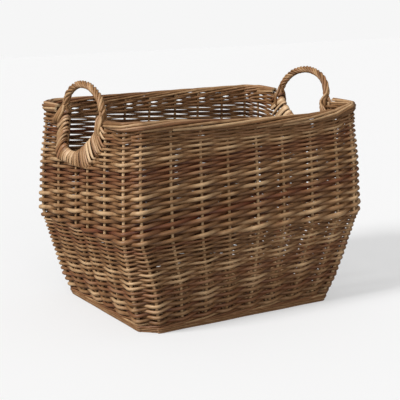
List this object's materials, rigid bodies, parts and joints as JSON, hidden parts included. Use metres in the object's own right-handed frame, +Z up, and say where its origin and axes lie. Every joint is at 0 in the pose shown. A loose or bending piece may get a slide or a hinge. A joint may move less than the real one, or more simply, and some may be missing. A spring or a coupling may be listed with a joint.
{
  "type": "firewood basket",
  "caption": "Open octagonal wicker log basket with a woven body, laid border and two roped hoop handles over bound hand holes.",
  "frame": {"origin": "on the floor under the middle of the basket", "axes": "+X along the basket's length from end to end, +Z up, the long front side faces -Y"},
  "size_m": [0.628, 0.472, 0.5255],
  "materials": {
    "stake_willow": "dry brown willow rod",
    "weave_willow": "woven brown willow rods",
    "border_willow": "laid brown willow rods",
    "base_willow": "woven willow base",
    "handle_willow": "twisted pale willow",
    "binding_willow": "split willow wrapped flat"
  },
  "bodies": {
    "root": {"base_mat": "base_willow", "base_stick_1": "base_willow", "base_stick_2": "base_willow", "base_stick_3": "base_willow", "base_stick_4": "base_willow", "base_stick_5": "base_willow", "foot_wale": "weave_willow", "lower_weave": "weave_willow", "upper_weave": "weave_willow", "top_wale_front": "weave_willow", "top_wale_back": "weave_willow", "border_front": "border_willow", "border_back": "border_willow", "hole_binding_left": "binding_willow", "hole_binding_right": "binding_willow", "handle_bow_left": "handle_willow", "handle_bow_right": "handle_willow", "handle_roping_left": "handle_willow", "handle_roping_right": "handle_willow", "stake_front_1": "stake_willow", "stake_front_2": "stake_willow", "stake_front_3": "stake_willow", "stake_front_4": "stake_willow", "stake_front_5": "stake_willow", "stake_front_6": "stake_willow", "stake_front_7": "stake_willow", "stake_front_8": "stake_willow", "stake_front_9": "stake_willow", "stake_back_1": "stake_willow", "stake_back_2": "stake_willow", "stake_back_3": "stake_willow", "stake_back_4": "stake_willow", "stake_back_5": "stake_willow", "stake_back_6": "stake_willow", "stake_back_7": "stake_willow", "stake_back_8": "stake_willow", "stake_back_9": "stake_willow", "stake_right_1": "stake_willow", "stake_right_2": "stake_willow", "stake_right_3": "stake_willow", "stake_right_4": "stake_willow", "stake_right_5": "stake_willow", "stake_right_6": "stake_willow", "stake_left_1": "stake_willow", "stake_left_2": "stake_willow", "stake_left_3": "stake_willow", "stake_left_4": "stake_willow", "stake_left_5": "stake_willow", "stake_left_6": "stake_willow"}
  },
  "joints": []
}
